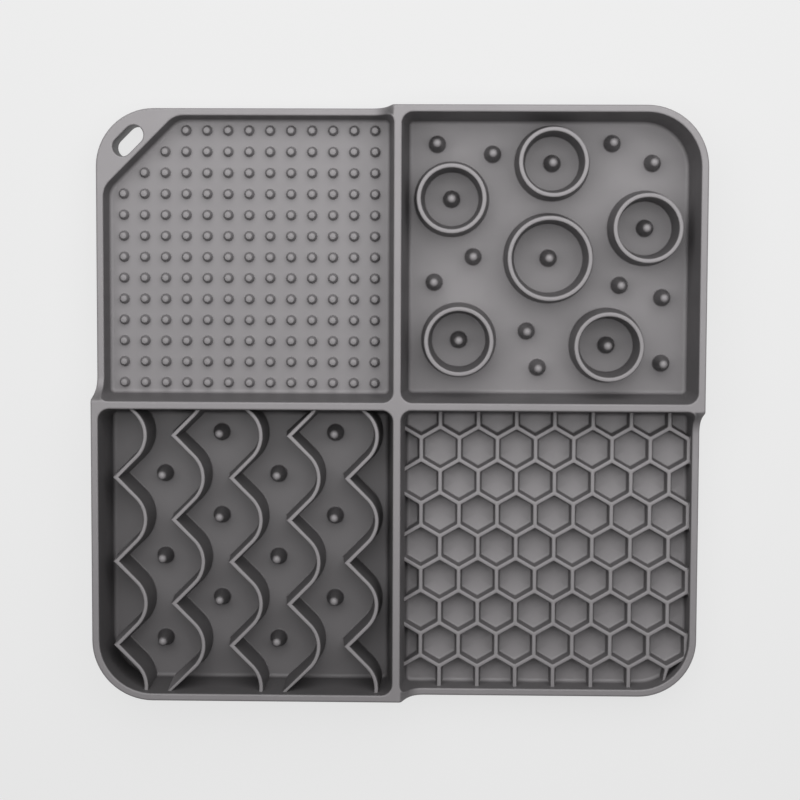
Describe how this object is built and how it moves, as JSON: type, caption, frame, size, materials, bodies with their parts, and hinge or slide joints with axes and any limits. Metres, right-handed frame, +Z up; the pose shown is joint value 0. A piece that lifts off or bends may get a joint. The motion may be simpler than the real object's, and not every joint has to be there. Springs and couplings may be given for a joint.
{
  "type": "lick mat",
  "caption": "Square moulded silicone lick mat with a cross divider, wells of studs, rings, waves and honeycomb, stepped rims and a corner tab with an oblong hanging slot.",
  "frame": {"origin": "on the table, under the middle of the mat", "axes": "+X to the right across the width, +Y to the back where the hanging tab is at the left corner, +Z up"},
  "size_m": [0.205, 0.2, 0.0215],
  "materials": {
    "silicone": "matte grey silicone"
  },
  "bodies": {
    "root": {"cross_divider": "silicone", "hanging_tab": "silicone", "honeycomb_floor": "silicone", "honeycomb_grid": "silicone", "honeycomb_wall": "silicone", "large_ring": "silicone", "lick_studs": "silicone", "loose_posts": "silicone", "ring_floor": "silicone", "ring_posts": "silicone", "ring_wall": "silicone", "small_ring_1": "silicone", "small_ring_2": "silicone", "small_ring_3": "silicone", "small_ring_4": "silicone", "small_ring_5": "silicone", "stud_floor": "silicone", "stud_wall_back": "silicone", "stud_wall_side": "silicone", "wave_floor": "silicone", "wave_posts": "silicone", "wave_rib_1": "silicone", "wave_rib_2": "silicone", "wave_rib_3": "silicone", "wave_rib_4": "silicone", "wave_rib_5": "silicone", "wave_wall": "silicone"}
  },
  "joints": []
}
